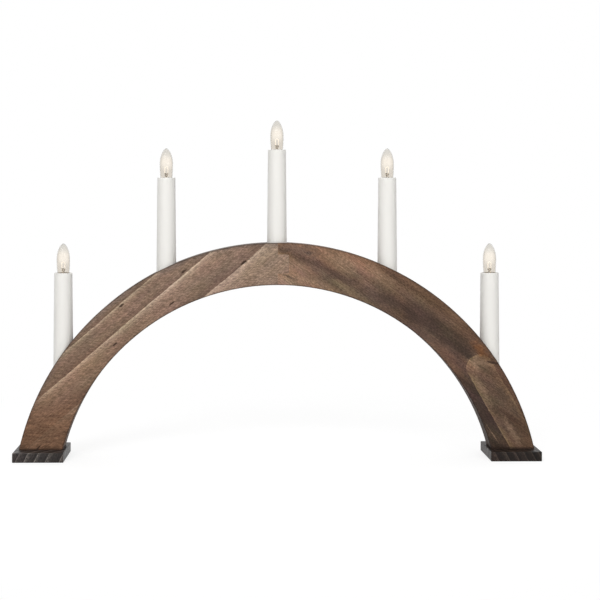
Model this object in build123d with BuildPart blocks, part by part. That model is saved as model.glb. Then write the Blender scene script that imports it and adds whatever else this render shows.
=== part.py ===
"""Electric candle arch: a wooden arch on two block feet carries five candle sleeves. Inside each sleeve
a lampholder on a stem takes a small screw-in lamp in the shape of a flame.

Millimetres. +Z is up, the front faces -Y, and the origin is on the table under the arch's middle.
"""

import os
from math import asin, cos, degrees, radians, sin, sqrt

from build123d import *

# Arch: a flat ring sector of wood, cut level where it stands on the feet
arch_outer_radius = 257.2
arch_band = 41.0
arch_thickness = 28.0
arch_centre_z = -47.0
arch_edge_chamfer = 0.7

# Crest joint: one finger of the left half between two of the right half
seam_x = 0.6
finger_length = 10.8
finger_width = 18.6
finger_corner_radius = 2.0

# Feet: flat blocks, a little wider than the legs
foot_height = 9.2
foot_depth = 60.0
foot_toe = 4.0
foot_heel = 3.0
foot_edge_radius = 0.7
foot_base_chamfer = 0.4

# Foot screws: countersunk wood screws, driven up through the foot into the leg
screw_length = 34.0
screw_diameter = 4.0
screw_head_diameter = 7.6
screw_point = 5.0
screw_recess = 0.5
screw_pitch = 20.0
screw_clearance = 0.1

# Candles: their places round the arch, in degrees from the crest, and how deep each seat is on its low side
inner_candle_angle = 27.3
outer_candle_angle = 62.25
middle_seat_depth = 3.6
inner_seat_depth = 2.3
outer_seat_depth = 1.5

# Sleeve: a moulded tube with draft
sleeve_length = 95.0
sleeve_top_diameter = 17.7
sleeve_base_diameter = 19.4
sleeve_wall = 1.5
sleeve_rim_radius = min(0.6, 0.4 * sleeve_wall)
seat_clearance = 0.3

# Lamp: glass above the rim, and its whole length down to the solder tip
lamp_rise = 28.6
lamp_length = 43.0
glass_radius = 6.5
glass_widest_below_tip = 15.5
glass_shoulder_radius = 5.85
glass_shoulder_height = 1.4
glass_wall = 0.6
glass_fullness = 0.55
cap_diameter = 9.5
cap_sheet = 0.4
cap_length = 13.0
cap_skirt_height = 2.2
cap_skirt_step = 0.55
cap_lip = 1.2
cement_gap = 0.15
tip_radius = 1.6
insulator_height = 1.5
tip_reveal = 0.6
insulator_taper = 1.6
turning_gap = 0.1

# Lamp's inside: glass stem with a bead, two leads and the filament loop
stem_pillar_radius = 1.2
bead_radius = 1.8
bead_height = 2.8
bead_above_cap = 3.0
flare_height = 4.0
lead_spacing = 3.0
lead_diameter = 0.5
filament_above_cap = 10.4
stem_gap = 0.1

# Lampholder: cup, stem, flange and spigot in one moulding
holder_fit = 0.25
cup_below_cap = 0.2
cup_floor_thickness = 2.0
cup_skirt = 4.0
cup_cone = 3.0
stem_wall = 1.2
spigot_wall = 1.5
spigot_length = 10.0
spigot_chamfer = 0.8
spigot_clearance = 0.1
flange_thickness = 3.0

# Lampholder contacts: a screw shell and a centre contact, each with a solder tail through the cup's floor
shell_sheet = 0.6
shell_length = 11.0
shell_clearance = 0.1
thread_clearance = 0.25
contact_radius = 2.0
contact_height = 1.2
contact_sheet = 0.5
contact_gap = 0.1
contact_creepage = 0.6
tail_radius = 0.8
tail_length = 3.0
tail_clearance = 0.2

# Wiring: single wires in a routed groove in the back
wire_diameter = 2.0
wire_margin = 1.0
bore_clearance = 0.3
groove_width = 10.0
splice_diameter = 2.8
splice_length = 16.0
splice_gap = 0.1
layer_gap = 0.2
outlet_room = 14.0
jog_drop = 12.0
jog_run = 15.0
jog_radius = 20.0
clip_thickness = 2.0
clip_length = 8.0
clip_fit = 0.05

# Sizes that follow from those above
arch_inner_radius = arch_outer_radius - arch_band
arch_mid_radius = arch_inner_radius + arch_band / 2
front_y = -arch_thickness / 2
back_y = arch_thickness / 2
crest_z = arch_centre_z + arch_mid_radius
foot_drop = foot_height - arch_centre_z
leg_inner_x = sqrt(arch_inner_radius**2 - foot_drop**2)
leg_outer_x = sqrt(arch_outer_radius**2 - foot_drop**2)
leg_mid_x = (leg_inner_x + leg_outer_x) / 2
foot_inner_x = leg_inner_x - foot_heel
foot_outer_x = leg_outer_x + foot_toe

inner_candle_x = arch_mid_radius * sin(radians(inner_candle_angle))
outer_candle_x = arch_mid_radius * sin(radians(outer_candle_angle))
seat_radius = sleeve_base_diameter / 2 + seat_clearance
candles = [
    (-outer_candle_x, outer_seat_depth),
    (-inner_candle_x, inner_seat_depth),
    (0.0, middle_seat_depth),
    (inner_candle_x, inner_seat_depth),
    (outer_candle_x, outer_seat_depth),
]


def seat_floor(x, depth):
    """Height of a seat's flat floor, its depth below the lowest point of its mouth."""
    return arch_centre_z + sqrt(arch_outer_radius**2 - (abs(x) + seat_radius) ** 2) - depth


# Levels on a candle, from its sleeve's rim
lamp_foot = lamp_rise - lamp_length
cap_top = lamp_foot + cap_length
glass_shoulder = cap_top + glass_shoulder_height
bead_bottom = cap_top + bead_above_cap
bead_top = bead_bottom + bead_height
filament_level = cap_top + filament_above_cap
cup_top = cap_top - cup_below_cap
cup_floor = lamp_foot - contact_gap - contact_height
cup_base = cup_floor - cup_floor_thickness
tail_end = cup_base - tail_length
cup_bottom = cup_base - cup_skirt
stem_top = cup_bottom - cup_cone
flange_top = flange_thickness - sleeve_length
spigot_end = -sleeve_length - spigot_length

# Radii on a candle, from the lamp's cap outwards and from the wires outwards
cap_radius = cap_diameter / 2
shell_inner_radius = cap_radius + thread_clearance
shell_outer_radius = shell_inner_radius + shell_sheet
cup_bore_radius = shell_outer_radius + shell_clearance
cup_radius = sleeve_top_diameter / 2 - sleeve_wall - holder_fit
flange_radius = sleeve_base_diameter / 2 - sleeve_wall - holder_fit
shell_flange_radius = contact_radius + contact_creepage
shell_tail_x = shell_flange_radius + tail_radius
stem_bore_radius = shell_tail_x + wire_diameter / 2 + bore_clearance
stem_radius = stem_bore_radius + stem_wall
spigot_radius = stem_bore_radius + spigot_wall
spigot_bore_radius = spigot_radius + spigot_clearance

# Wire tracks: two layers over the groove's floor, along its inner wall
layer_pitch = splice_diameter + layer_gap
groove_floor_y = -splice_diameter / 2 - splice_gap
groove_depth = back_y - groove_floor_y
track_radius = arch_mid_radius - groove_width / 2 + wire_margin + wire_diameter / 2
bend_radius = groove_width / 2 - wire_margin - wire_diameter / 2
screw_y = (front_y + groove_floor_y) / 2


def turn_off(x, side):
    """Where a wire that comes down at x bends to a side: the level of the bend, and its place on the track."""
    bend_x = x + side * bend_radius
    reach = track_radius + bend_radius
    return arch_centre_z + sqrt(reach**2 - bend_x**2), asin(bend_x / reach)


def on_arc(radius, angle, y=0.0):
    """A point at an angle from the crest, on an arc about the arch's centre."""
    return Vector(radius * sin(angle), y, arch_centre_z + radius * cos(angle))


def lathe_plane(x, z):
    """An upright plane through a candle's axis, drawn in radius and height."""
    return Plane(origin=(x, 0, z), x_dir=(1, 0, 0), z_dir=(0, -1, 0))


def save(piece, name):
    piece.part.label = name
    export_step(piece.part, f"parts/{name}.step")


os.makedirs("parts", exist_ok=True)

feed_angle = turn_off(outer_candle_x + shell_tail_x, 1)[1]
splice_start = feed_angle + wire_margin / track_radius
splice_end = splice_start + splice_length / track_radius
groove_start = turn_off(-outer_candle_x, -1)[1]
groove_end = splice_end + outlet_room / track_radius
groove_line = CenterArc(
    (0, arch_centre_z),
    arch_mid_radius,
    90 - degrees(groove_end),
    degrees(groove_end - groove_start),
)

# The arch before it is parted: ring sector, candle seats, wire bores, back groove and screw pilots
with BuildPart() as arch_blank:
    with BuildSketch(Plane.XZ):
        with Locations((0, arch_centre_z)):
            Circle(arch_outer_radius)
            Circle(arch_inner_radius, mode=Mode.SUBTRACT)
    extrude(amount=arch_thickness / 2, both=True)
    chamfer(arch_blank.edges().filter_by(GeomType.CIRCLE), arch_edge_chamfer)
    split(bisect_by=Plane.XY.offset(foot_height))
    for x, depth in candles:
        floor = seat_floor(x, depth)
        bore_end = on_arc(track_radius, asin(x / track_radius)).Z
        with Locations((x, 0, floor)):
            Cylinder(
                seat_radius,
                arch_band,
                align=(Align.CENTER, Align.CENTER, Align.MIN),
                mode=Mode.SUBTRACT,
            )
            Cylinder(
                spigot_bore_radius,
                floor - bore_end,
                align=(Align.CENTER, Align.CENTER, Align.MAX),
                mode=Mode.SUBTRACT,
            )
    with BuildSketch(Plane.XZ.offset(-back_y)):
        SlotArc(groove_line, groove_width)
    extrude(amount=groove_depth, mode=Mode.SUBTRACT)
    pilot_depth = screw_recess + screw_length + screw_clearance - foot_height
    for side in (-1, 1):
        for step in (-1, 1):
            with Locations((side * leg_mid_x + step * screw_pitch / 2, screw_y, foot_height)):
                Cylinder(
                    screw_diameter / 2 + screw_clearance,
                    pilot_depth,
                    align=(Align.CENTER, Align.CENTER, Align.MIN),
                    mode=Mode.SUBTRACT,
                )

# The crest joint's outline: everything left of the seam, and the finger that reaches past it
with BuildSketch(Plane.XZ.offset(-arch_thickness)) as left_of_seam:
    with Locations((seam_x, crest_z)):
        Rectangle(
            2 * arch_outer_radius,
            4 * arch_outer_radius,
            align=(Align.MAX, Align.CENTER),
        )
        Rectangle(finger_length, finger_width, align=(Align.MIN, Align.CENTER))
    fillet(left_of_seam.vertices().group_by(Axis.X)[-1], finger_corner_radius)

with BuildPart() as arch_left:
    add(arch_blank.part)
    extrude(left_of_seam.sketch, amount=2 * arch_thickness, mode=Mode.INTERSECT)
save(arch_left, "arch_left")

with BuildPart() as arch_right:
    add(arch_blank.part)
    extrude(left_of_seam.sketch, amount=2 * arch_thickness, mode=Mode.SUBTRACT)
save(arch_right, "arch_right")

# Feet, with countersunk holes in the underside
for side, name in ((-1, "foot_left"), (1, "foot_right")):
    with BuildPart() as foot:
        with BuildSketch():
            with Locations((side * (foot_inner_x + foot_outer_x) / 2, 0)):
                Rectangle(foot_outer_x - foot_inner_x, foot_depth)
        extrude(amount=foot_height)
        rounded = foot.edges().filter_by(Axis.Z) + foot.faces().sort_by(Axis.Z)[-1].edges()
        fillet(rounded, foot_edge_radius)
        chamfer(foot.faces().sort_by(Axis.Z)[0].edges(), foot_base_chamfer)
        for step in (-1, 1):
            underside = Plane(
                origin=(side * leg_mid_x + step * screw_pitch / 2, screw_y, screw_recess),
                z_dir=(0, 0, -1),
            )
            with Locations(underside):
                CounterSinkHole(
                    screw_diameter / 2 + screw_clearance,
                    screw_head_diameter / 2 + screw_clearance,
                    foot_height,
                    counter_sink_angle=90,
                )
    save(foot, name)

# Foot screws: plain shanks with a point and a countersunk head
with BuildPart() as foot_screws:
    head_height = (screw_head_diameter - screw_diameter) / 2
    for side in (-1, 1):
        for step in (-1, 1):
            screw_x = side * leg_mid_x + step * screw_pitch / 2
            with BuildSketch(Plane((screw_x, screw_y, screw_recess), (1, 0, 0), (0, -1, 0))):
                with BuildLine():
                    Polyline(
                        (0, 0),
                        (screw_head_diameter / 2, 0),
                        (screw_diameter / 2, head_height),
                        (screw_diameter / 2, screw_length - screw_point),
                        (0, screw_length),
                        close=True,
                    )
                make_face()
            revolve(axis=Axis((screw_x, screw_y, 0), (0, 0, 1)))
save(foot_screws, "foot_screws")


def glass_outline(inset, bottom):
    """Half of the lamp's flame outline in radius and height, drawn inside the outer face by an inset."""
    neck_radius = cap_radius - cap_sheet - cement_gap - inset
    shoulder = (glass_shoulder_radius - inset, glass_shoulder)
    widest = (glass_radius - inset, lamp_rise - glass_widest_below_tip)
    tip = (0, lamp_rise - inset)
    Bezier(shoulder, (widest[0], (shoulder[1] + widest[1]) / 2), widest)
    Bezier(
        widest,
        (widest[0], widest[1] + glass_fullness * (tip[1] - widest[1])),
        (glass_fullness * widest[0], tip[1]),
        tip,
    )
    Polyline(tip, (0, bottom), (neck_radius, bottom), (neck_radius, cap_top), shoulder)


# The candles, from the sleeve inwards to the filament
for number, (x, depth) in enumerate(candles, start=1):
    rim_z = seat_floor(x, depth) + sleeve_length
    candle = lathe_plane(x, rim_z)
    axis = Axis((x, 0, rim_z), (0, 0, 1))

    with BuildPart() as candle_sleeve:
        with BuildSketch(candle):
            with BuildLine():
                Polyline(
                    (sleeve_base_diameter / 2 - sleeve_wall, -sleeve_length),
                    (sleeve_base_diameter / 2, -sleeve_length),
                    (sleeve_top_diameter / 2, 0),
                    (sleeve_top_diameter / 2 - sleeve_wall, 0),
                    close=True,
                )
            make_face()
        revolve(axis=axis)
        fillet(candle_sleeve.faces().sort_by(Axis.Z)[-1].edges(), sleeve_rim_radius)
    save(candle_sleeve, f"candle_sleeve_{number}")

    with BuildPart() as lamp_holder:
        with BuildSketch(candle):
            with BuildLine():
                Polyline(
                    (stem_bore_radius, spigot_end),
                    (spigot_radius - spigot_chamfer, spigot_end),
                    (spigot_radius, spigot_end + spigot_chamfer),
                    (spigot_radius, -sleeve_length),
                    (flange_radius, -sleeve_length),
                    (flange_radius, flange_top),
                    (stem_radius, flange_top),
                    (stem_radius, stem_top),
                    (cup_radius, cup_bottom),
                    (cup_radius, cup_top),
                    (cup_bore_radius, cup_top),
                    (cup_bore_radius, cup_floor),
                    (0, cup_floor),
                    (0, cup_base),
                    (stem_bore_radius, cup_base),
                    close=True,
                )
            make_face()
        revolve(axis=axis)
        with Locations((x, 0, rim_z + cup_floor), (x + shell_tail_x, 0, rim_z + cup_floor)):
            Cylinder(
                tail_radius + tail_clearance,
                cup_floor_thickness,
                align=(Align.CENTER, Align.CENTER, Align.MAX),
                mode=Mode.SUBTRACT,
            )
    save(lamp_holder, f"lamp_holder_{number}")

    with BuildPart() as screw_shell:
        with BuildSketch(candle):
            with BuildLine():
                Polyline(
                    (shell_flange_radius, cup_floor),
                    (shell_outer_radius, cup_floor),
                    (shell_outer_radius, cup_floor + shell_length),
                    (shell_inner_radius, cup_floor + shell_length),
                    (shell_inner_radius, cup_floor + shell_sheet),
                    (shell_flange_radius, cup_floor + shell_sheet),
                    close=True,
                )
            make_face()
        revolve(axis=axis)
        with Locations((x + shell_tail_x, 0, rim_z + tail_end)):
            Cylinder(
                tail_radius,
                cup_floor - tail_end + shell_sheet / 2,
                align=(Align.CENTER, Align.CENTER, Align.MIN),
            )
    save(screw_shell, f"screw_shell_{number}")

    with BuildPart() as centre_contact:
        with BuildSketch(candle):
            with BuildLine():
                Polyline(
                    (0, cup_floor + contact_height),
                    (0, tail_end),
                    (tail_radius, tail_end),
                    (tail_radius, cup_floor),
                    (contact_radius, cup_floor),
                    (contact_radius, cup_floor + contact_sheet),
                )
                TangentArc(
                    (0, cup_floor + contact_height),
                    (contact_radius, cup_floor + contact_sheet),
                    tangent=(1, 0),
                )
            make_face()
        revolve(axis=axis)
    save(centre_contact, f"centre_contact_{number}")

    insulator_bottom = lamp_foot + tip_reveal
    insulator_top = insulator_bottom + insulator_height
    cap_bottom = insulator_top + turning_gap
    with BuildPart() as bulb_tip:
        with BuildSketch(candle):
            with BuildLine():
                TangentArc((0, lamp_foot), (tip_radius, insulator_bottom), tangent=(1, 0))
                Polyline(
                    (tip_radius, insulator_bottom),
                    (tip_radius, insulator_top),
                    (0, insulator_top),
                    (0, lamp_foot),
                )
            make_face()
        revolve(axis=axis)
    save(bulb_tip, f"bulb_tip_{number}")

    with BuildPart() as bulb_insulator:
        with BuildSketch(candle):
            with BuildLine():
                Polyline(
                    (tip_radius, insulator_bottom),
                    (cap_radius - insulator_taper, insulator_bottom),
                    (cap_radius - cap_sheet, insulator_top),
                    (tip_radius, insulator_top),
                    close=True,
                )
            make_face()
        revolve(axis=axis)
    save(bulb_insulator, f"bulb_insulator_{number}")

    skirt_bottom = cap_top - cap_skirt_height
    skirt_radius = cap_radius + cap_skirt_step
    with BuildPart() as bulb_cap:
        with BuildSketch(candle):
            with BuildLine():
                Polyline(
                    (cap_radius - cap_lip, cap_bottom),
                    (cap_radius - cap_sheet, cap_bottom),
                    (cap_radius, cap_bottom + cap_sheet),
                    (cap_radius, skirt_bottom),
                    (skirt_radius, skirt_bottom + cap_skirt_step),
                    (skirt_radius, cap_top),
                    (skirt_radius - cap_sheet, cap_top),
                    (skirt_radius - cap_sheet, skirt_bottom + cap_skirt_step),
                    (cap_radius - cap_sheet, skirt_bottom),
                    (cap_radius - cap_sheet, cap_bottom + cap_sheet),
                    (cap_radius - cap_lip, cap_bottom + cap_sheet),
                    close=True,
                )
            make_face()
        revolve(axis=axis)
    save(bulb_cap, f"bulb_cap_{number}")

    neck_bottom = cap_bottom + cap_sheet + stem_gap
    with BuildPart() as bulb_glass:
        with BuildSketch(candle):
            with BuildLine():
                glass_outline(0, neck_bottom)
            make_face()
        revolve(axis=axis)
        with BuildSketch(candle):
            with BuildLine():
                glass_outline(glass_wall, neck_bottom - glass_wall)
            make_face()
        revolve(axis=axis, mode=Mode.SUBTRACT)
    save(bulb_glass, f"bulb_glass_{number}")

    stem_base_radius = cap_radius - cap_sheet - cement_gap - glass_wall - stem_gap
    with BuildPart() as bulb_stem:
        with BuildSketch(candle):
            with BuildLine():
                Polyline(
                    (0, bead_top),
                    (0, neck_bottom),
                    (stem_base_radius, neck_bottom),
                    (stem_pillar_radius, neck_bottom + flare_height),
                    (stem_pillar_radius, bead_bottom),
                )
                bead_waist = (bead_radius, bead_bottom + bead_height / 2)
                bead_edge = (lead_spacing / 2 + lead_diameter, bead_top)
                ThreePointArc((stem_pillar_radius, bead_bottom), bead_waist, bead_edge)
                Line(bead_edge, (0, bead_top))
            make_face()
        revolve(axis=axis)
    save(bulb_stem, f"bulb_stem_{number}")

    with BuildPart() as bulb_filament:
        with BuildLine() as loop:
            left_lead = Line(
                (x - lead_spacing / 2, 0, rim_z + bead_top),
                (x - lead_spacing / 2, 0, rim_z + filament_level),
            )
            arch_over = TangentArc(
                left_lead @ 1,
                Vector(x + lead_spacing / 2, 0, rim_z + filament_level),
                tangent=Vector(0, 0, 1),
            )
            Line(arch_over @ 1, Vector(x + lead_spacing / 2, 0, rim_z + bead_top))
        with BuildSketch(Plane(loop.line @ 0, z_dir=loop.line % 0)):
            Circle(lead_diameter / 2)
        sweep()
    save(bulb_filament, f"bulb_filament_{number}")

# Series wiring: each link rises to the shell of one lampholder and to the contact of the next
tail_levels = [seat_floor(x, depth) + sleeve_length + tail_end for x, depth in candles]
wires = []
for left in range(len(candles) - 1):
    start_x = candles[left][0] + shell_tail_x
    end_x = candles[left + 1][0]
    start_bend, start_angle = turn_off(start_x, 1)
    end_bend, end_angle = turn_off(end_x, -1)
    with BuildPart() as link:
        with BuildLine() as path:
            down = Line((start_x, 0, tail_levels[left]), (start_x, 0, start_bend))
            onto = TangentArc(down @ 1, on_arc(track_radius, start_angle), tangent=down % 1)
            along = TangentArc(onto @ 1, on_arc(track_radius, end_angle), tangent=onto % 1)
            off = TangentArc(along @ 1, Vector(end_x, 0, end_bend), tangent=along % 1)
            Line(off @ 1, Vector(end_x, 0, tail_levels[left + 1]))
        with BuildSketch(Plane(path.line @ 0, z_dir=path.line % 0)):
            Circle(wire_diameter / 2)
        sweep()
    wires.append(link.part)

# Feed lead: from the last lampholder's shell down to its splice
feed_x = outer_candle_x + shell_tail_x
feed_bend, feed_track = turn_off(feed_x, 1)
with BuildPart() as feed_lead:
    with BuildLine() as path:
        down = Line((feed_x, 0, tail_levels[-1]), (feed_x, 0, feed_bend))
        onto = TangentArc(down @ 1, on_arc(track_radius, feed_track), tangent=down % 1)
        TangentArc(onto @ 1, on_arc(track_radius, splice_start), tangent=onto % 1)
    with BuildSketch(Plane(path.line @ 0, z_dir=path.line % 0)):
        Circle(wire_diameter / 2)
    sweep()
wires.append(feed_lead.part)

# Return lead: from the first lampholder's contact, over the links, to its splice beside the other
back_x = -outer_candle_x
back_bend, back_track = turn_off(back_x, 1)
with BuildPart() as return_lead:
    with BuildLine() as path:
        down = FilletPolyline(
            (back_x, 0, tail_levels[0]),
            (back_x, 0, tail_levels[0] - jog_drop),
            (back_x, layer_pitch, tail_levels[0] - jog_drop - jog_run),
            (back_x, layer_pitch, back_bend),
            radius=jog_radius,
        )
        track_start = on_arc(track_radius, back_track, layer_pitch)
        onto = TangentArc(down @ 1, track_start, tangent=down % 1)
        track_end = on_arc(track_radius, splice_start, layer_pitch)
        TangentArc(onto @ 1, track_end, tangent=onto % 1)
    with BuildSketch(Plane(path.line @ 0, z_dir=path.line % 0)):
        Circle(wire_diameter / 2)
    sweep()
wires.append(return_lead.part)

with BuildPart() as series_wiring:
    add(wires)
save(series_wiring, "series_wiring")
print(f"wire bends: {bend_radius:.1f} mm in the groove, {jog_radius:.1f} mm in the stem")

# Splice sleeves on the two supply leads, one over the other
with BuildPart() as lead_splices:
    for y in (0, layer_pitch):
        with BuildLine() as path:
            ThreePointArc(
                on_arc(track_radius, splice_start, y),
                on_arc(track_radius, (splice_start + splice_end) / 2, y),
                on_arc(track_radius, splice_end, y),
            )
        with BuildSketch(Plane(path.line @ 0, z_dir=path.line % 0)):
            Circle(splice_diameter / 2)
        sweep()
save(lead_splices, "lead_splices")

# Clips: plastic bridges pressed across the groove over both layers of wire
clip_y = layer_pitch + wire_diameter / 2 + clip_fit
clip_outer = arch_mid_radius + groove_width / 2 - clip_fit
clip_inner = arch_mid_radius - groove_width / 2 + clip_fit
clip_sweep = clip_length / arch_mid_radius
candle_angles = [asin(x / arch_mid_radius) for x, depth in candles]
clip_angles = []
for before, after in zip(candle_angles, candle_angles[1:]):
    clip_angles += [before + (after - before) / 3, after - (after - before) / 3]
with BuildPart() as wiring_clips:
    with BuildSketch(Plane.XZ.offset(-clip_y)):
        for angle in clip_angles:
            with BuildLine():
                start = 90 - degrees(angle + clip_sweep / 2)
                inner = CenterArc((0, arch_centre_z), clip_inner, start, degrees(clip_sweep))
                outer = CenterArc((0, arch_centre_z), clip_outer, start, degrees(clip_sweep))
                Line(inner @ 0, outer @ 0)
                Line(inner @ 1, outer @ 1)
            make_face()
    extrude(amount=-clip_thickness)
save(wiring_clips, "wiring_clips")
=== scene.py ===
"""Looks of an electric candle arch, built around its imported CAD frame.

A stained wooden arch on two dark block feet carries five white candle sleeves, each with a small clear lamp
in the shape of a flame. Metres, +Z is up and the front faces -Y.
"""

import math

import bpy
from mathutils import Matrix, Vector


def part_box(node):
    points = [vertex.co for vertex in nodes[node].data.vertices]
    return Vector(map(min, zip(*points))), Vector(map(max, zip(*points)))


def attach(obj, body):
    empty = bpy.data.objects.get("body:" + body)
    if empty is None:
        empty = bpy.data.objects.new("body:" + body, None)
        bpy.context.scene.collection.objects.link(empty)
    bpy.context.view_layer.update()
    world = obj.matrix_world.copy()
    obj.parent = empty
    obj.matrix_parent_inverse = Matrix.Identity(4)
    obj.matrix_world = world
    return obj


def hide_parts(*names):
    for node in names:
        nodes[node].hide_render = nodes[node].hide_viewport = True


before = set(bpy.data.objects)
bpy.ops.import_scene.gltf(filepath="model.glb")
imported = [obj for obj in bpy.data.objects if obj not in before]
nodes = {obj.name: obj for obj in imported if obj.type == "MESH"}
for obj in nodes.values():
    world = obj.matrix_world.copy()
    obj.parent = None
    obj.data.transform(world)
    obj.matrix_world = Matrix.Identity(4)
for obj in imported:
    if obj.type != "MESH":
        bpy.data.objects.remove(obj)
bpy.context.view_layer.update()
bpy.ops.object.select_all(action="DESELECT")

# Arch halves
# Two sawn boards of knotty softwood, finger-jointed and glued at the crest and bandsawn to a ring. A brown
# stain soaks into the soft early wood and leaves the hard late wood of each growth ring pale.


def add_node(tree, kind, feeds, **settings):
    """Adds a node, sets its options, and feeds its sockets with values or with other nodes' outputs."""
    made = tree.nodes.new(kind)
    for option, value in settings.items():
        setattr(made, option, value)
    for socket, value in feeds.items():
        if isinstance(value, bpy.types.NodeSocket):
            tree.links.new(value, made.inputs[socket])
        else:
            made.inputs[socket].default_value = value
    return made


def calc(tree, operation, first, second=0.0, third=0.0):
    """The result of one sum on values or sockets."""
    return add_node(tree, "ShaderNodeMath", {0: first, 1: second, 2: third}, operation=operation).outputs[0]


def vector(tree, operation, first, second):
    """The result of one sum on vectors."""
    return add_node(tree, "ShaderNodeVectorMath", {0: first, 1: second}, operation=operation).outputs[0]


def length(tree, value):
    """How long a vector is."""
    return add_node(tree, "ShaderNodeVectorMath", {0: value}, operation="LENGTH").outputs["Value"]


def scaled(tree, value, factor):
    """A vector or a colour times a number."""
    return add_node(tree, "ShaderNodeVectorMath", {0: value, "Scale": factor}, operation="SCALE").outputs[0]


def noise(tree, place, per_metre, detail, output=0):
    """Soft noise from 0 to 1, with its number of patches in a metre given along each axis."""
    feeds = {"Vector": vector(tree, "MULTIPLY", place, per_metre), "Scale": 1, "Detail": detail}
    return add_node(tree, "ShaderNodeTexNoise", feeds).outputs[output]


def ramp(tree, value, low, high, start=0.0, end=1.0):
    """A smooth step from start to end while the value goes from low to high."""
    feeds = {"Value": value, "From Min": low, "From Max": high, "To Min": start, "To Max": end}
    return add_node(tree, "ShaderNodeMapRange", feeds, interpolation_type="SMOOTHSTEP").outputs[0]


def blend(tree, share, first, second):
    """Two colours mixed; a Mix node's sockets go by number, because its kinds share their names."""
    return add_node(tree, "ShaderNodeMix", {0: share, 6: first, 7: second}, data_type="RGBA").outputs[2]


def swing(tree, value, amount):
    """A factor that swings about 1 by an amount as noise goes from 0 to 1."""
    return calc(tree, "MULTIPLY_ADD", calc(tree, "SUBTRACT", value, 0.5), amount, 1.0)


def sway(tree, place, per_metre, detail, amount):
    """A vector that sways about zero by an amount as noise's three channels go from 0 to 1."""
    channels = noise(tree, place, per_metre, detail, "Color")
    return scaled(tree, vector(tree, "SUBTRACT", channels, (0.5, 0.5, 0.5)), amount)


def srgb(red, green, blue):
    """A colour written as it looks on screen, 0 to 255, in Blender's linear numbers."""
    return tuple(((c / 255 + 0.055) / 1.055) ** 2.4 for c in (red, green, blue)) + (1.0,)


def new_group(name, inputs, outputs):
    """An empty shader node group with its sockets, its way in and its way out."""
    group = bpy.data.node_groups.new(name, "ShaderNodeTree")
    for label, kind in inputs:
        group.interface.new_socket(label, in_out="INPUT", socket_type="NodeSocket" + kind)
    for label, kind in outputs:
        group.interface.new_socket(label, in_out="OUTPUT", socket_type="NodeSocket" + kind)
    return group, group.nodes.new("NodeGroupInput").outputs, group.nodes.new("NodeGroupOutput").inputs


def lay_group(tree, group, **feeds):
    """A node group in a material, with its sockets fed: its outputs."""
    named = {socket.replace("_", " "): value for socket, value in feeds.items()}
    return add_node(tree, "ShaderNodeGroup", named, node_tree=group).outputs


def new_material(name, **sockets):
    """A material with its Principled shader's plain values set."""
    material = bpy.data.materials.new(name)
    material.use_nodes = True
    shader = material.node_tree.nodes["Principled BSDF"]
    for socket, value in sockets.items():
        shader.inputs[socket.replace("_", " ")].default_value = value
    return material, material.node_tree, shader.inputs


def object_place(tree):
    """Where a point is on the object, in the frame's metres."""
    return add_node(tree, "ShaderNodeTexCoord", {}).outputs["Object"]


def axes_of(tree, place):
    """A place's three distances along X, Y and Z."""
    return add_node(tree, "ShaderNodeSeparateXYZ", {0: place}).outputs


def along_grain(tree, heart, angle):
    """Places along, through and across a grain that climbs towards +X, measured from the trunk's heart."""
    feeds = {"Vector": object_place(tree), "Location": heart, "Rotation": (0, -math.radians(angle), 0)}
    return add_node(tree, "ShaderNodeMapping", feeds, vector_type="TEXTURE").outputs[0]


def emboss(tree, inputs, height, strength, depth):
    """Fine relief on a material, of a depth in metres."""
    feeds = {"Height": height, "Strength": strength, "Distance": depth}
    tree.links.new(add_node(tree, "ShaderNodeBump", feeds).outputs[0], inputs["Normal"])


def dress(names, material):
    """Gives CAD nodes their finish."""
    for name in names:
        nodes[name].material_slots[0].material = material


# Growth rings round the trunk's heart, all of one area: each goes from dark early wood to pale late wood
fray_share = 0.3
weakest_late_wood = 0.6
fibre_contrast = 1.2
pore_span = (0.62, 0.74)
pore_cover = 0.45
pore_shade = 0.55
early_roughness = 0.62
late_gloss = 0.15
stained_wood, inlet, outlet = new_group(
    "stained_wood",
    [
        ("Grain", "Vector"),
        ("Rings", "Vector"),
        ("Speckle", "Float"),
        ("Lean", "Float"),
        ("First Ring", "Float"),
        ("Ring Width", "Float"),
        ("Waver", "Float"),
        ("Blotch", "Float"),
        ("Tinge", "Float"),
        ("Early Reach", "Float"),
        ("Late Power", "Float"),
        ("Early Wood", "Color"),
        ("Middle Wood", "Color"),
        ("Late Wood", "Color"),
    ],
    [("Color", "Color"), ("Shade", "Float"), ("Roughness", "Float"), ("Height", "Float")],
)
grain = inlet["Grain"]
drift = sway(stained_wood, grain, (5, 16, 16), 2, inlet["Waver"])
axes = axes_of(stained_wood, vector(stained_wood, "ADD", inlet["Rings"], drift))
past_heart = calc(stained_wood, "MINIMUM", axes["X"], 0.0)
inward = calc(stained_wood, "MULTIPLY_ADD", past_heart, inlet["Lean"], axes["Y"])
section = add_node(stained_wood, "ShaderNodeCombineXYZ", {"Y": inward, "Z": axes["Z"]}).outputs[0]
fray = calc(stained_wood, "SUBTRACT", noise(stained_wood, grain, (60, 420, 420), 3), 0.5)
fray = calc(stained_wood, "MULTIPLY", fray, inlet["Waver"])
from_heart = calc(stained_wood, "MULTIPLY_ADD", fray, fray_share, length(stained_wood, section))
first_area = calc(stained_wood, "POWER", inlet["First Ring"], 2.0)
next_ring = calc(stained_wood, "ADD", inlet["First Ring"], inlet["Ring Width"])
ring_area = calc(stained_wood, "SUBTRACT", calc(stained_wood, "POWER", next_ring, 2.0), first_area)
grown_area = calc(stained_wood, "SUBTRACT", calc(stained_wood, "POWER", from_heart, 2.0), first_area)
years = calc(stained_wood, "DIVIDE", grown_area, ring_area)
growth = calc(stained_wood, "FRACT", years)
year = calc(stained_wood, "FLOOR", years)
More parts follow.
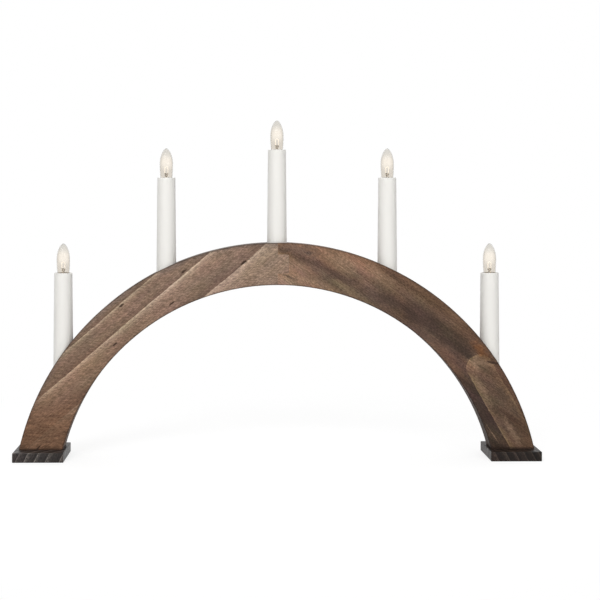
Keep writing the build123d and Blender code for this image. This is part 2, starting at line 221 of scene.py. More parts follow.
vigour = add_node(
    stained_wood, "ShaderNodeTexWhiteNoise", {"W": year}, noise_dimensions="1D"
).outputs["Value"]
paleness = calc(stained_wood, "MULTIPLY_ADD", vigour, 1 - weakest_late_wood, weakest_late_wood)
late = calc(stained_wood, "MULTIPLY", calc(stained_wood, "POWER", growth, inlet["Late Power"]), paleness)
fibre = noise(stained_wood, grain, (28, 1300, 1300), 3)
fleck = noise(stained_wood, grain, (420, 1000, 1000), 2)
patch = noise(stained_wood, grain, (18, 60, 60), 3)
pore = noise(stained_wood, grain, (110, 1100, 1100), 2)
pore = ramp(stained_wood, pore, *pore_span, 0.0, pore_cover)
tinge = vector(stained_wood, "ADD", sway(stained_wood, grain, (26, 80, 80), 3, inlet["Tinge"]), (1, 1, 1))
early_end = ramp(stained_wood, growth, 0.0, inlet["Early Reach"])
wood = blend(stained_wood, early_end, inlet["Early Wood"], inlet["Middle Wood"])
wood = blend(stained_wood, late, wood, inlet["Late Wood"])
wood = blend(stained_wood, pore, wood, scaled(stained_wood, inlet["Early Wood"], pore_shade))
wood = vector(stained_wood, "MULTIPLY", wood, tinge)
shade = swing(stained_wood, fibre, fibre_contrast)
for pattern, contrast in ((fleck, inlet["Speckle"]), (patch, inlet["Blotch"])):
    shade = calc(stained_wood, "MULTIPLY", shade, swing(stained_wood, pattern, contrast))
for label, value in (
    ("Color", scaled(stained_wood, wood, shade)),
    ("Shade", shade),
    ("Roughness", calc(stained_wood, "MULTIPLY_ADD", late, -late_gloss, early_roughness)),
    ("Height", calc(stained_wood, "SUBTRACT", calc(stained_wood, "ADD", fibre, late), pore)),
):
    stained_wood.links.new(value, outlet[label])

# A soft-edged mark in the wood: a streak, a resin pocket, a small crack or a speck of bark
mark_end = 1.15
raggedness = 1.4
wood_mark, inlet, outlet = new_group(
    "wood_mark",
    [
        ("Place", "Vector"),
        ("Middle", "Vector"),
        ("Turn", "Vector"),
        ("Size", "Vector"),
        ("Core", "Float"),
        ("Grit", "Float"),
    ],
    [("Mask", "Float")],
)
mark_feeds = {
    "Vector": inlet["Place"],
    "Location": inlet["Middle"],
    "Rotation": inlet["Turn"],
    "Scale": inlet["Size"],
}
mark_place = add_node(wood_mark, "ShaderNodeMapping", mark_feeds, vector_type="TEXTURE").outputs[0]
ragged = noise(wood_mark, scaled(wood_mark, inlet["Place"], inlet["Grit"]), (1, 1, 1.8), 3)
ragged = calc(wood_mark, "MULTIPLY_ADD", ragged, raggedness, -raggedness / 2)
mark_reach = calc(wood_mark, "ADD", length(wood_mark, mark_place), ragged)
wood_mark.links.new(ramp(wood_mark, mark_reach, inlet["Core"], mark_end, 1.0, 0.0), outlet["Mask"])

arch_low, arch_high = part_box("arch_left")
arch_front = arch_low.y
arch_outer_radius = 0.2572
arch_band = 0.041
arch_mid_radius = arch_outer_radius - arch_band / 2
arch_centre = (0, 0, arch_high.z - arch_outer_radius)
arch_gloss = 0.12
wood_relief = 0.00006
# Painted shade: the ring's sawn inner and outer faces darkened, and a painted shadow line low on each leg
# above its foot
painted_edge_shade = srgb(46, 34, 28)
edge_shade_span = (arch_band / 2 - 0.0016, arch_band / 2 - 0.0002)
edge_shade_share = 0.55
foot_join_shade_span = (arch_low.z + 0.0008, arch_low.z + 0.0024)
foot_join_shade_share = 0.75
knot_dark = srgb(56, 41, 33)
knot_form = {"core": 0.55, "depth": 0.006, "share": 0.9, "grit": 550}


def lay_marks(tree, colour, marks, tint, core, depth, share, grit):
    """Marks of one tint on a wood's colour, each with its place on the front, climb and half sizes."""
    for x, z, climb, half_length, half_width in marks:
        mark = lay_group(
            tree,
            wood_mark,
            Place=object_place(tree),
            Middle=(x, arch_front, z),
            Turn=(0, -math.radians(climb), 0),
            Size=(half_length, depth, half_width),
            Core=core,
            Grit=grit,
        )
        colour = blend(tree, calc(tree, "MULTIPLY", mark["Mask"], share), colour, tint)
    return colour


def soaked(tree, tint, laid):
    """A stain's tint with the light and dark of the wood under it."""
    return scaled(tree, tint[:3], laid["Shade"])


def from_axis(tree):
    """How far a point is from the axis that the arch bends round."""
    off_centre = vector(tree, "SUBTRACT", object_place(tree), arch_centre)
    return length(tree, vector(tree, "MULTIPLY", off_centre, (1, 0, 1)))


def paint_edge_shade(tree, colour):
    """Painted shade on the ring's sawn inner and outer faces, and a painted shadow line where each leg
    stands on its foot.
    """
    off_middle = calc(tree, "ABSOLUTE", calc(tree, "SUBTRACT", from_axis(tree), arch_mid_radius))
    edge = ramp(tree, off_middle, *edge_shade_span, 0.0, edge_shade_share)
    foot_join_shade = ramp(tree, axes_of(tree, object_place(tree))["Z"], *foot_join_shade_span, foot_join_shade_share, 0.0)
    return blend(tree, calc(tree, "MAXIMUM", edge, foot_join_shade), colour, painted_edge_shade)


def finish_wood(tree, inputs, colour, laid):
    """Joins a wood's colour, gloss and relief to its material's shader."""
    tree.links.new(colour, inputs["Base Color"])
    tree.links.new(laid["Roughness"], inputs["Roughness"])
    emboss(tree, inputs, laid["Height"], 1.0, wood_relief)


# Left half: a board cut wide of the heart, so that the rings run as slanting bands, with a greyer outer rim
# and a leg that still shows the saw
left_climb = 40.5
left_heart_across = 0.140
left_heart_depth = 0.060
left_heart = (
    -left_heart_across * math.sin(math.radians(left_climb)),
    arch_front + left_heart_depth,
    left_heart_across * math.cos(math.radians(left_climb)),
)
grey_rim = srgb(106, 93, 88)
grey_rim_span = (arch_outer_radius + 0.001, arch_outer_radius + 0.008)
grey_rim_share = 0.55
grey_rim_waver = 0.014
leg_brown = srgb(122, 92, 72)
leg_brown_span = (0.03, 0.08)
leg_brown_share = 0.9
saw_contrast = 1.3
dash_contrast = 1.5
height_tone_span = (0.06, 0.20)
height_tone_low = (0.83, 0.80, 0.76, 1)
height_tone_high = (0.95, 0.975, 1.0, 1)
left_knots = [
    (-0.0912, 0.1825, 40, 0.0042, 0.0012),
    (-0.1029, 0.1514, 38, 0.0036, 0.0010),
    (-0.0329, 0.1912, 35, 0.0040, 0.0014),
    (-0.1514, 0.1496, 40, 0.0034, 0.0012),
    (-0.1577, 0.1120, 40, 0.0026, 0.0010),
    (-0.2318, 0.0119, 48, 0.0042, 0.0008),
]
left_wood, tree, inputs = new_material("arch_wood_left", Specular_IOR_Level=arch_gloss)
grain_place = along_grain(tree, left_heart, left_climb)
laid = lay_group(
    tree,
    stained_wood,
    Grain=grain_place,
    Rings=grain_place,
    Speckle=1.4,
    Lean=0.0,
    First_Ring=0.0655,
    Ring_Width=0.0162,
    Waver=0.003,
    Blotch=0.7,
    Tinge=0.2,
    Early_Reach=0.4,
    Late_Power=8.0,
    Early_Wood=srgb(121, 97, 82),
    Middle_Wood=srgb(141, 115, 97),
    Late_Wood=srgb(203, 180, 155),
)
# Greyer towards the outer rim, its border made ragged by noise
rim_noise = noise(tree, grain_place, (16, 50, 50), 2)
rim_reach = calc(tree, "MULTIPLY_ADD", rim_noise, grey_rim_waver, from_axis(tree))
greyed = ramp(tree, rim_reach, *grey_rim_span, 0.0, grey_rim_share)
colour = blend(tree, greyed, laid["Color"], soaked(tree, grey_rim, laid))
saw_marks = swing(tree, noise(tree, object_place(tree), (40, 40, 460), 3), saw_contrast)
sawn_leg = scaled(tree, soaked(tree, leg_brown, laid), saw_marks)
height = axes_of(tree, object_place(tree))["Z"]
colour = blend(tree, ramp(tree, height, *leg_brown_span, leg_brown_share, 0.0), colour, sawn_leg)
# Darker and warmer towards the foot of the leg, a little cooler up at the crest
height_tone = blend(tree, ramp(tree, height, *height_tone_span), height_tone_low, height_tone_high)
dashes = swing(tree, noise(tree, object_place(tree), (260, 260, 900), 2), dash_contrast)
colour = scaled(tree, vector(tree, "MULTIPLY", colour, height_tone), dashes)
colour = lay_marks(tree, colour, left_knots, knot_dark, **knot_form)
# The painted edge shade and foot shadow line go on last
finish_wood(tree, inputs, paint_edge_shade(tree, colour), laid)
dress(["arch_left"], left_wood)

# Right half: a board that the heart leans out of, so that one ring closes into a flame on the leg, with a
# dark streak of heartwood above it and a rim reddened by resin
right_climb = -36.0
flame_climb = -60.0
flame_heart = (0.1972, arch_front, 0.0892)
flame_half_width = 0.0127
red_wood = srgb(110, 80, 60)
resin_span = (0.47, 0.66)
resin_share = 0.3
red_rim_span = (arch_outer_radius - 0.020, arch_outer_radius - 0.004)
red_rim_share = 0.5
streak_contrast = 1.4
crest_span = (0.0, 0.15)
crest_light = 2.35
leg_end_span = (0.02, 0.075)
leg_end_shade = 0.84
heart_streak = [
    (0.0400, 0.1875, -26, 0.062, 0.0068),
    (0.0930, 0.1600, -28.6, 0.062, 0.0090),
    (0.1450, 0.1300, -38.6, 0.056, 0.0110),
    (0.1782, 0.0941, -58, 0.024, 0.0060),
]
pale_streaks = [
    (0.0180, 0.1760, -12, 0.020, 0.0070),
    (0.0610, 0.1930, -30, 0.022, 0.0085),
    (0.1010, 0.1790, -34, 0.022, 0.0050),
    (0.1990, 0.0930, -6, 0.015, 0.0050),
    (0.0296, 0.1739, -12, 0.014, 0.0030),
    (0.0234, 0.1862, -35, 0.008, 0.0030),
    (0.1931, 0.0939, -75, 0.011, 0.0055),
    (0.2006, 0.0658, -60, 0.020, 0.0040),
    (0.2289, 0.0263, -60, 0.020, 0.0040),
    (0.2110, 0.0225, -56, 0.016, 0.0005),
]
flame_shadows = [
    (0.2191, 0.0619, -57, 0.019, 0.0085),
    (0.2318, 0.0473, -62, 0.014, 0.0060),
]
rust_spots = [(0.1986, 0.1058, -50, 0.014, 0.0060)]
crest_shades = [
    (0.0180, 0.2047, -8, 0.030, 0.0075),
    (0.0303, 0.1999, -30, 0.008, 0.0030),
    (0.0124, 0.1769, -22, 0.009, 0.0016),
]
right_knots = [(0.2099, 0.0935, -10, 0.0065, 0.0014)]
right_wood, tree, inputs = new_material("arch_wood_right", Specular_IOR_Level=arch_gloss)
grain_place = along_grain(tree, flame_heart, right_climb)
laid = lay_group(
    tree,
    stained_wood,
    Grain=grain_place,
    Rings=along_grain(tree, flame_heart, flame_climb),
    Speckle=2.0,
    Lean=-1.0,
    First_Ring=flame_half_width,
    Ring_Width=0.4,
    Waver=0.005,
    Blotch=1.7,
    Tinge=0.45,
    Early_Reach=0.013,
    Late_Power=2400.0,
    Early_Wood=srgb(74, 58, 50),
    Middle_Wood=srgb(88, 70, 57),
    Late_Wood=srgb(156, 128, 98),
)
resin = ramp(tree, noise(tree, grain_place, (14, 45, 45), 3), *resin_span, 0.0, resin_share)
red_rim = ramp(tree, from_axis(tree), *red_rim_span, 0.0, red_rim_share)
reddened = calc(tree, "MAXIMUM", resin, red_rim)
colour = blend(tree, reddened, laid["Color"], soaked(tree, red_wood, laid))
axes = axes_of(tree, object_place(tree))
for factor in (
    swing(tree, noise(tree, grain_place, (7, 120, 120), 3), streak_contrast),
    ramp(tree, axes["X"], *crest_span, crest_light, 1.0),
    ramp(tree, axes["Z"], *leg_end_span, leg_end_shade, 1.0),
):
    colour = scaled(tree, colour, factor)
for marks, tint, core, depth, share, grit in (
    (pale_streaks, srgb(146, 119, 97), 0.0, 0.030, 0.6, 130),
    (flame_shadows, srgb(82, 66, 54), 0.1, 0.030, 0.75, 130),
    (rust_spots, srgb(116, 76, 46), 0.1, 0.030, 0.7, 130),
    (heart_streak, srgb(72, 56, 49), 0.1, 0.060, 0.7, 55),
    (crest_shades, srgb(88, 73, 64), 0.2, 0.030, 0.75, 200),
):
    colour = lay_marks(tree, colour, marks, soaked(tree, tint, laid), core, depth, share, grit)
colour = lay_marks(tree, colour, right_knots, knot_dark, **knot_form)
# The painted edge shade and foot shadow line go on last
finish_wood(tree, inputs, paint_edge_shade(tree, colour), laid)
dress(["arch_right"], right_wood)

# Feet
# Planed blocks of the same softwood under a dark grey-black stain, their edges eased by hand, screwed on
# from below. The left one took less stain than the right one.
waxing = 0.16
thin_black = (srgb(35, 30, 28), srgb(46, 40, 38), srgb(112, 104, 99))
deep_black = (srgb(28, 21, 18), srgb(35, 27, 23), srgb(76, 64, 57))
for foot, climb, heart, gloss, speckle, stain in (
    ("foot_left", 64.0, (-0.175, -0.055, -0.030), 0.28, 3.6, thin_black),
    ("foot_right", 118.0, (0.165, -0.055, -0.030), 0.18, 2.2, deep_black),
):
    foot_wood, tree, inputs = new_material(foot + "_wood", Specular_IOR_Level=gloss)
    grain_place = along_grain(tree, heart, climb)
    laid = lay_group(
        tree,
        stained_wood,
        Grain=grain_place,
        Rings=grain_place,
        Speckle=speckle,
        Lean=0.0,
        First_Ring=0.040,
        Ring_Width=0.0125,
        Waver=0.006,
        Blotch=1.8,
        Tinge=0.15,
        Early_Reach=0.5,
        Late_Power=5.0,
        Early_Wood=stain[0],
        Middle_Wood=stain[1],
        Late_Wood=stain[2],
    )
    finish_wood(tree, inputs, laid["Color"], laid)
    tree.links.new(calc(tree, "SUBTRACT", laid["Roughness"], waxing), inputs["Roughness"])
    dress([foot], foot_wood)

# Foot screws
# Zinc-plated countersunk wood screws with a pressed cross recess and a rolled thread, driven up through the
# feet into the legs.
screw_length = 0.034
screw_radius = 0.002
screw_head_radius = 0.0038
screw_point = 0.005
screw_spacing = 0.020
plain_shank = 0.009
screw_thread_pitch = 0.0020
screw_thread_depth = 0.0005
screw_thread_ring = 0.00025
screw_thread_sharpness = 0.4
screw_steps = 36
recess_radius = 0.0021
recess_taper = 0.55
recess_depth = 0.0022
recess_slimness = 0.28
recess_overcut = 0.0002
pole_radius = 0.0000005
merge_distance = 0.000002
smooth_angle = math.radians(40)
patch_span = (0.3, 0.7)


def turned_piece(name, outline, steps):
    """A turned piece round the Z axis: a ring carried along an outline of (radius, height) points."""
    bpy.ops.object.select_all(action="DESELECT")
    first_radius, first_height = outline[0]
    bpy.ops.mesh.primitive_circle_add(vertices=steps, radius=first_radius, location=(0, 0, first_height))
    piece = bpy.context.object
    piece.name = name
    bpy.ops.object.transform_apply(location=True, rotation=True, scale=True)
    bpy.ops.object.mode_set(mode="EDIT")
    bpy.ops.mesh.select_all(action="SELECT")
    for (radius, height), (next_radius, next_height) in zip(outline, outline[1:]):
        bpy.ops.mesh.extrude_region_move(TRANSFORM_OT_translate={"value": (0, 0, next_height - height)})
        widening = next_radius / radius
        bpy.ops.transform.resize(value=(widening, widening, 1), center_override=(0, 0, next_height))
    bpy.ops.mesh.select_all(action="SELECT")
    bpy.ops.mesh.remove_doubles(threshold=merge_distance)
    bpy.ops.mesh.normals_make_consistent(inside=False)
    bpy.ops.object.mode_set(mode="OBJECT")
    bpy.ops.object.shade_smooth_by_angle(angle=smooth_angle)
    return piece


def copy_at(form, name, place):
    """A copy of a form with its own mesh, moved to its place on the object."""
    bpy.ops.object.select_all(action="DESELECT")
    form.select_set(True)
    bpy.context.view_layer.objects.active = form
    bpy.ops.object.duplicate()
    piece = bpy.context.object
    piece.name = name
    piece.data.name = name
    piece.location = place
    bpy.ops.object.transform_apply(location=True, rotation=False, scale=False)
    return piece


def even_levels(low, high, step):
    """Heights from low to high, about a step apart."""
    count = round((high - low) / step)
    return [low + (high - low) * index / count for index in range(count + 1)]


def roll_thread(form, start, end, pitch, depth, sharpness):
    """Presses a thread into a turned wall between two heights, fading at its ends and near the axis."""
    for vertex in form.data.vertices:
        x, y, z = vertex.co
        radius = math.hypot(x, y)
        turn = math.atan2(y, x) / math.tau
        fade = max(0.0, min(1.0, (z - start) / pitch, (end - z) / pitch))
        wave = (1 - math.cos(math.tau * (z / pitch - turn))) / 2
        drawn_in = 1 - fade * min(depth, radius / 3) * wave**sharpness / radius
        vertex.co = (x * drawn_in, y * drawn_in, z)


def press_cross(form):
    """Cuts two tapered blades out of a screw's head, as its cross recess."""
    blade_height = recess_depth + recess_overcut
    for slimness in ((1, recess_slimness, 1), (recess_slimness, 1, 1)):
        bpy.ops.object.select_all(action="DESELECT")
        bpy.ops.mesh.primitive_cone_add(
            vertices=4,
            radius1=recess_radius,
            radius2=recess_radius * recess_taper,
            depth=blade_height,
            location=(0, 0, blade_height / 2 - recess_overcut),
        )
        blade = bpy.context.object
        blade.scale = slimness
        bpy.ops.object.transform_apply(location=True, rotation=True, scale=True)
        bpy.context.view_layer.objects.active = form
        bpy.ops.object.modifier_add(type="BOOLEAN")
        form.modifiers["Boolean"].operation = "DIFFERENCE"
        form.modifiers["Boolean"].object = blade
        bpy.ops.object.modifier_apply(modifier="Boolean")
        bpy.data.objects.remove(blade)


def mottled(name, per_metre, detail, tints, smooth, rough, **sockets):
    """A material with soft patches between two tints, smooth in the first and rougher in the second."""
    material, tree, inputs = new_material(name, **sockets)
    patches = noise(tree, object_place(tree), per_metre, detail)
    tree.links.new(blend(tree, patches, *tints), inputs["Base Color"])
    tree.links.new(ramp(tree, patches, *patch_span, smooth, rough), inputs["Roughness"])
    return material, tree, inputs


def fit_out(piece, body, material, stood_for):
    """Rides a finished piece on its body in place of a CAD node, with its finish."""
    piece.data.materials.clear()
    piece.data.materials.append(material)
    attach(piece, body)
    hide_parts(stood_for)


zinc_tints = (srgb(200, 196, 186), srgb(168, 164, 156))
screw_steel, tree, inputs = mottled(
    "screw_steel", (300, 300, 300), 3, zinc_tints, 0.25, 0.42, Metallic=1.0, Specular_IOR_Level=0.5
)
screw_low, screw_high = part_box("foot_screws")
leg_middle = screw_high.x - screw_head_radius - screw_spacing / 2
screw_y = (screw_low.y + screw_high.y) / 2
point_start = screw_length - screw_point
screw_form = turned_piece(
    "screw_form",
    [(pole_radius, 0.0), (screw_head_radius, 0.0), (screw_radius, screw_head_radius - screw_radius)]
    + [(screw_radius, level) for level in even_levels(plain_shank, point_start, screw_thread_ring)]
    + [
        (max(pole_radius, screw_radius * (screw_length - level) / screw_point), level)
        for level in even_levels(point_start, screw_length, screw_thread_ring)[1:]
    ],
    screw_steps,
)
roll_thread(
    screw_form, plain_shank, screw_length, screw_thread_pitch, screw_thread_depth, screw_thread_sharpness
)
press_cross(screw_form)
screws = [
    copy_at(screw_form, "foot_screw", (side * leg_middle + step * screw_spacing / 2, screw_y, screw_low.z))
    for side in (-1, 1)
    for step in (-1, 1)
]
for screw in screws:
    screw.select_set(True)
bpy.ops.object.join()
wood_screws = bpy.context.object
wood_screws.name = "wood_screws"
bpy.ops.object.shade_smooth_by_angle(angle=smooth_angle)
fit_out(wood_screws, "arch", screw_steel, "foot_screws")
bpy.data.objects.remove(screw_form)

# Candle sleeves
# Injection-moulded white plastic tubes with a little draft and a rounded rim, slipped over the lampholders'
# stems and standing in round seats bored into the arch.
candle_numbers = range(1, 6)
sleeve_top_radius = 0.00885
sleeve_wall = 0.0015
sleeve_rim_radius = 0.0006
rim_steps = 5
turned_steps = 72
moulding_strength = 0.35
moulding_depth = 0.00003


def arc_points(centre, radius, start, end, count):
    """Points round part of a circle, in (radius, height), by angles in degrees."""
    points = []
    for step in range(count + 1):
        angle = math.radians(start + (end - start) * step / count)
        points.append((centre[0] + radius * math.cos(angle), centre[1] + radius * math.sin(angle)))
    return points


sleeve_whites = (srgb(238, 236, 231), srgb(234, 232, 227))
sleeve_plastic, tree, inputs = mottled(
    "sleeve_plastic",
    (90, 90, 22),
    2,
    sleeve_whites,
    0.42,
    0.5,
    Specular_IOR_Level=0.35,
    Subsurface_Weight=0.08,
    Subsurface_Radius=(1, 1, 1),
    Subsurface_Scale=0.004,
)
moulding = noise(tree, object_place(tree), (900, 900, 900), 2)
emboss(tree, inputs, moulding, moulding_strength, moulding_depth)

candle_rims = {}
for number in candle_numbers:
    low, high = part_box(f"candle_sleeve_{number}")
    candle_rims[number] = ((low.x + high.x) / 2, 0, high.z)
sleeve_base_radius = (high.x - low.x) / 2
sleeve_foot = low.z - high.z
bore_radius = sleeve_top_radius - sleeve_wall
outer_rim = (sleeve_top_radius - sleeve_rim_radius, -sleeve_rim_radius)
inner_rim = (bore_radius + sleeve_rim_radius, -sleeve_rim_radius)
sleeve_form = turned_piece(
    "sleeve_form",
    [(sleeve_base_radius, sleeve_foot)]
    + arc_points(outer_rim, sleeve_rim_radius, 0, 90, rim_steps)
    + arc_points(inner_rim, sleeve_rim_radius, 90, 180, rim_steps)
    + [(sleeve_base_radius - sleeve_wall, sleeve_foot), (sleeve_base_radius, sleeve_foot)],
    turned_steps,
)
for number, rim in candle_rims.items():
    sleeve = copy_at(sleeve_form, f"sleeve_{number}", rim)
    fit_out(sleeve, "arch", sleeve_plastic, f"candle_sleeve_{number}")
bpy.data.objects.remove(sleeve_form)

# Lampholders
# A white moulded cup on a hollow stem, with a flange in the sleeve's foot and a spigot glued into the arch.
# Inside the cup sit a rolled brass screw shell and a sprung centre contact.
tarnish_span = (0.35, 0.7)
dulling_span = (0.3, 0.75)
bright_brass = 0.2
dull_brass = 0.42


def dress_five(kind, material):
    """Gives the like CAD nodes of all five candles their finish."""
    dress([f"{kind}_{number}" for number in candle_numbers], material)


def brass(name, bright, dull):
    """Pressed brass sheet with a little tarnish."""
    material, tree, inputs = new_material(name, Metallic=1.0)
    tarnish = noise(tree, object_place(tree), (420, 420, 420), 3)
    tree.links.new(blend(tree, ramp(tree, tarnish, *tarnish_span), bright, dull), inputs["Base Color"])
    tree.links.new(ramp(tree, tarnish, *dulling_span, bright_brass, dull_brass), inputs["Roughness"])
    return material


holder_whites = (srgb(232, 229, 222), srgb(222, 219, 211))
holder_plastic, tree, inputs = mottled(
    "holder_plastic", (140, 140, 140), 2, holder_whites, 0.35, 0.5, Specular_IOR_Level=0.4
)
dress_five("lamp_holder", holder_plastic)
contact_brass = brass("contact_brass", srgb(214, 184, 118), srgb(170, 138, 84))
dress_five("screw_shell", contact_brass)
dress_five("centre_contact", contact_brass)

# Lamp glasses
# Clear glass blown to the shape of a flame, open at its neck, where the cap's skirt holds it. The light of
# the filament makes the middle of the glass glow.
lamp_rise = 0.0286
glass_radius = 0.0065
glass_widest = 0.0131
shoulder_radius = 0.00585
side_fullness = 0.62
tip_fullness = 0.36
cap_top = -0.0014
neck_radius = 0.0042
glass_wall = 0.0006
glass_foot = -0.0117
glass_steps = 48
shoulder_steps = 10
flame_steps = 24
glow_rise = (0.0055, 0.0140)
glow_fall = (0.0165, 0.0260)
tip_span = (0.016, 0.026)
rim_view = (0.35, 0.95)
glow_view = (0.0, 0.6)


def bezier_points(controls, count):
    """Points along a Bezier curve, the first one left out."""
    points = []
    for step in range(1, count + 1):
        share = step / count
        row = list(controls)
        while len(row) > 1:
            row = [tuple(a + (b - a) * share for a, b in zip(*pair)) for pair in zip(row, row[1:])]
        points.append(row[0])
    return points


def flame_outline():
    """The glass's outer face from foot to tip, in (radius, height above the sleeve's rim)."""
    shoulder = (shoulder_radius, 0.0)
    widest = (glass_radius, glass_widest)
    tip = (pole_radius, lamp_rise)
    side_pull = (glass_radius, glass_widest + side_fullness * (lamp_rise - glass_widest))
    tip_pull = (tip_fullness * glass_radius, lamp_rise)
    lower = bezier_points([shoulder, (glass_radius, glass_widest / 2), widest], shoulder_steps)
    upper = bezier_points([widest, side_pull, tip_pull, tip], flame_steps)
    return [(neck_radius, glass_foot), (neck_radius, cap_top), shoulder] + lower + upper


lamp_glow, inlet, outlet = new_group(
    "lamp_glow", [("Rise", "Float")], [("Glass", "Color"), ("Glow", "Color")]
)
glow_up = ramp(lamp_glow, inlet["Rise"], *glow_rise)
glow_down = ramp(lamp_glow, inlet["Rise"], *glow_fall, 1.0, 0.0)
glow = calc(lamp_glow, "MULTIPLY", glow_up, glow_down)
lamp_glow.links.new(blend(lamp_glow, glow, (0, 0, 0, 1), srgb(255, 249, 241)), outlet["Glow"])
tip_share = ramp(lamp_glow, inlet["Rise"], *tip_span)
lamp_glow.links.new(blend(lamp_glow, tip_share, srgb(237, 233, 227), srgb(237, 235, 231)), outlet["Glass"])

glass_form = turned_piece("glass_form", flame_outline(), glass_steps)
bpy.ops.object.modifier_add(type="SOLIDIFY")
glass_form.modifiers["Solidify"].thickness = glass_wall
glass_form.modifiers["Solidify"].offset = -1
bpy.ops.object.modifier_apply(modifier="Solidify")
bpy.ops.object.shade_smooth_by_angle(angle=smooth_angle)
for number, rim in candle_rims.items():
    lamp_glass, tree, inputs = new_material(
        f"lamp_glass_{number}", Roughness=0.18, IOR=1.16, Transmission_Weight=1.0, Emission_Strength=0.07
    )
    facing = add_node(tree, "ShaderNodeLayerWeight", {"Blend": 0.5}).outputs["Facing"]
    height = axes_of(tree, object_place(tree))["Z"]
    lit = lay_group(tree, lamp_glow, Rise=calc(tree, "SUBTRACT", height, rim[2]))
    tint = blend(tree, ramp(tree, facing, *rim_view), lit["Glass"], srgb(210, 205, 196))
    tree.links.new(tint, inputs["Base Color"])
    shine = scaled(tree, lit["Glow"], ramp(tree, facing, *glow_view, 1.0, 0.0))
    tree.links.new(shine, inputs["Emission Color"])
    glass = copy_at(glass_form, f"glass_{number}", rim)
    fit_out(glass, f"lamp_{number}", lamp_glass, f"bulb_glass_{number}")
bpy.data.objects.remove(glass_form)

# Lamp caps
# Thin brass sheet drawn to a cup, with a round thread rolled into its wall, a plain skirt that holds the
# glass, and a foot turned in round the insulator.
cap_sheet = 0.0002
cap_lip = 0.0012
cap_skirt_height = 0.0022
cap_skirt_step = 0.00055
cap_thread_pitch = 0.001814
cap_thread_depth = 0.0003
cap_thread_ring = 0.00015
cap_thread_sharpness = 1.0
low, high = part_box("bulb_cap_1")
cap_foot = low.z - candle_rims[1][2]
skirt_radius = (high.x - low.x) / 2
cap_radius = skirt_radius - cap_skirt_step
skirt_foot = cap_top - cap_skirt_height
thread_foot = cap_foot + 2 * cap_sheet
cap_levels = even_levels(thread_foot, skirt_foot, cap_thread_ring)
lip_edge = (cap_radius - cap_lip, cap_foot)
cap_form = turned_piece(
    "cap_form",
    [lip_edge, (cap_radius - 2 * cap_sheet, cap_foot)]
    + [(cap_radius, level) for level in cap_levels]
    + [(skirt_radius, skirt_foot + cap_skirt_step), (skirt_radius, cap_top)]
    + [(skirt_radius - cap_sheet, cap_top), (skirt_radius - cap_sheet, skirt_foot + cap_skirt_step)]
    + [(cap_radius - cap_sheet, level) for level in reversed(cap_levels)]
    + [(cap_radius - cap_lip, cap_foot + cap_sheet), lip_edge],
    turned_steps,
)
roll_thread(cap_form, thread_foot, skirt_foot, cap_thread_pitch, cap_thread_depth, cap_thread_sharpness)
cap_brass = brass("cap_brass", srgb(222, 194, 128), srgb(184, 152, 96))
for number, rim in candle_rims.items():
    cap = copy_at(cap_form, f"cap_{number}", rim)
    fit_out(cap, f"lamp_{number}", cap_brass, f"bulb_cap_{number}")
bpy.data.objects.remove(cap_form)

# Lamp insides
# A black glass insulator and a solder tip close the cap's foot. Inside, a pressed glass stem holds the
# leads and the glowing filament.
insulator_blacks = (srgb(28, 27, 30), srgb(46, 44, 48))
insulator_glass, tree, inputs = mottled(
    "cap_insulator", (500, 500, 500), 2, insulator_blacks, 0.12, 0.3, Specular_IOR_Level=0.6
)
dress_five("bulb_insulator", insulator_glass)

solder_greys = (srgb(196, 198, 200), srgb(150, 152, 156))
solder, tree, inputs = mottled("solder", (700, 700, 700), 3, solder_greys, 0.25, 0.5, Metallic=1.0)
dress_five("bulb_tip", solder)

stem_tints = (srgb(236, 232, 226), srgb(212, 206, 198))
stem_glass, tree, inputs = mottled(
    "stem_glass", (400, 400, 400), 2, stem_tints, 0.1, 0.35, IOR=1.3, Transmission_Weight=0.6
)
dress_five("bulb_stem", stem_glass)

filament_wire, tree, inputs = new_material("filament", Metallic=1.0, Emission_Strength=1.05)
heat = noise(tree, object_place(tree), (600, 600, 600), 2)
tree.links.new(blend(tree, heat, srgb(255, 250, 240), srgb(255, 244, 226)), inputs["Emission Color"])
tree.links.new(blend(tree, heat, srgb(190, 180, 170), srgb(150, 140, 130)), inputs["Base Color"])
dress_five("bulb_filament", filament_wire)

# Wiring
# Single insulated wires link the five lampholders in series, laid in a groove routed into the back of the
# arch. Shrink sleeves cover the two joins to the supply, and moulded clips are pressed across the groove.
flow_roughness = 0.12
for node, finish, light, dark, smooth in (
    ("series_wiring", "wire_insulation", srgb(112, 82, 62), srgb(88, 62, 46), 0.4),
    ("lead_splices", "splice_sleeve", srgb(48, 48, 50), srgb(34, 34, 36), 0.35),
    ("wiring_clips", "clip_plastic", srgb(92, 74, 60), srgb(76, 60, 48), 0.45),
):
    plastic, tree, inputs = mottled(
        finish, (260, 260, 260), 3, (light, dark), smooth, smooth + flow_roughness, Specular_IOR_Level=0.4
    )
    dress([node], plastic)

# Stage
# A plain white floor that keeps the shadows, under a white surround, with soft light from the front left,
# the front right and above.
floor_size = 8.0
floor_grey = 0.8
floor_shade = 0.3
floor_lit = 0.8
shadow_span = (0.28, 0.5)
white = (1, 1, 1, 1)
ambient = 0.44
side_light = 0.04
side_span = (0.25, 0.85)
back_light = 0.85
back_span = (0.2, 0.8)
mirror_dark = 0.25
mirror_span = (-0.5, 0.3)


def surface(tree, kind, feeds):
    """The output of one shader node."""
    return add_node(tree, kind, feeds).outputs[0]


def between(tree, share, first, second):
    """Two values mixed."""
    return add_node(tree, "ShaderNodeMix", {0: share, 2: first, 3: second}).outputs[0]


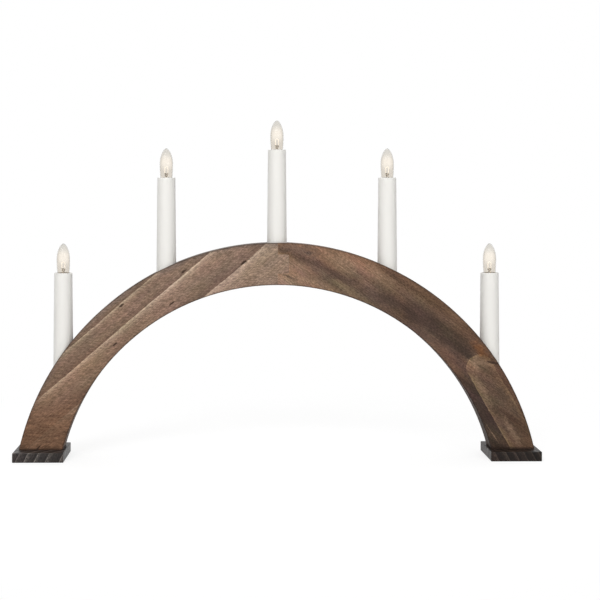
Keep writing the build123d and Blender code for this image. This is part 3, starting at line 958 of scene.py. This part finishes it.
bpy.ops.object.select_all(action="DESELECT")
bpy.ops.mesh.primitive_plane_add(size=floor_size)
floor = bpy.context.object
floor.name = "floor"
floor_white = bpy.data.materials.new("floor_white")
floor_white.use_nodes = True
tree = floor_white.node_tree
tree.nodes.remove(tree.nodes["Principled BSDF"])
near = ramp(tree, length(tree, object_place(tree)), *shadow_span, 1.0, 0.0)
matt = surface(tree, "ShaderNodeBsdfDiffuse", {"Color": (floor_grey, floor_grey, floor_grey, 1)})
shadows = surface(tree, "ShaderNodeBsdfDiffuse", {"Color": (floor_shade, floor_shade, floor_shade, 1)})
lift = surface(tree, "ShaderNodeEmission", {"Color": white, "Strength": 1 - floor_shade * floor_lit})
shaded = surface(tree, "ShaderNodeAddShader", {0: shadows, 1: lift})
plain = surface(tree, "ShaderNodeEmission", {"Color": white, "Strength": 1.0})
shown = surface(tree, "ShaderNodeMixShader", {0: near, 1: plain, 2: shaded})
rays = add_node(tree, "ShaderNodeLightPath", {}).outputs
mirrored = calc(tree, "MAXIMUM", rays["Is Glossy Ray"], rays["Is Transmission Ray"])
looked_at = calc(tree, "MAXIMUM", rays["Is Camera Ray"], mirrored)
mixed = surface(tree, "ShaderNodeMixShader", {0: looked_at, 1: matt, 2: shown})
tree.links.new(mixed, tree.nodes["Material Output"].inputs["Surface"])
floor.data.materials.append(floor_white)

world = bpy.data.worlds.new("white_surround")
bpy.context.scene.world = world
world.use_nodes = True
tree = world.node_tree
rays = add_node(tree, "ShaderNodeLightPath", {}).outputs
looked_at = calc(tree, "MAXIMUM", rays["Is Camera Ray"], rays["Is Transmission Ray"])
mirrored = calc(tree, "MULTIPLY", rays["Is Glossy Ray"], calc(tree, "SUBTRACT", 1.0, looked_at))
heading = axes_of(tree, add_node(tree, "ShaderNodeTexCoord", {}).outputs["Generated"])
lit_sides = ramp(tree, calc(tree, "ABSOLUTE", heading["X"]), *side_span, ambient, side_light)
lit_back = ramp(tree, heading["Y"], *back_span, 0.0, back_light)
lit_room = calc(tree, "MAXIMUM", lit_sides, lit_back)
mirror_room = ramp(tree, heading["Y"], *mirror_span, mirror_dark, 1.0)
strength = between(tree, looked_at, between(tree, mirrored, lit_room, mirror_room), 1.0)
tree.links.new(strength, tree.nodes["Background"].inputs["Strength"])
tree.nodes["Background"].inputs["Color"].default_value = white


def soft_box(name, place, aim, size, power):
    """A large soft lamp at a place, pointed at another."""
    bpy.ops.object.light_add(type="AREA", location=place)
    lamp = bpy.context.object
    lamp.name = name
    lamp.data.energy = power
    lamp.data.size = size
    lamp.rotation_euler = (Vector(aim) - Vector(place)).to_track_quat("-Z", "Y").to_euler()


soft_box("key_light", (-0.85, -1.95, 1.5), (0, 0, 0.15), 1.2, 27.5)
soft_box("fill_light", (1.0, -1.9, 0.9), (0, 0, 0.15), 1.2, 12.5)
soft_box("top_light", (0.0, 0.2, 1.9), (0, 0, 0.1), 1.4, 10)

# Camera
# Just above the candles' middle, a little to the left, looking level; the shift frames the object as in the
# photograph.
camera_data = bpy.data.cameras.new("camera")
camera = bpy.data.objects.new("camera", camera_data)
bpy.context.scene.collection.objects.link(camera)
camera.location = (-0.03833, -1.3700, 0.2578)
camera.rotation_euler = (math.radians(90), 0, math.radians(-0.906))
camera_data.lens = 83.66
camera_data.sensor_width = 36
camera_data.shift_x = 0.0667
camera_data.shift_y = -0.1766
bpy.context.scene.camera = camera
bpy.context.scene.view_settings.view_transform = "Standard"
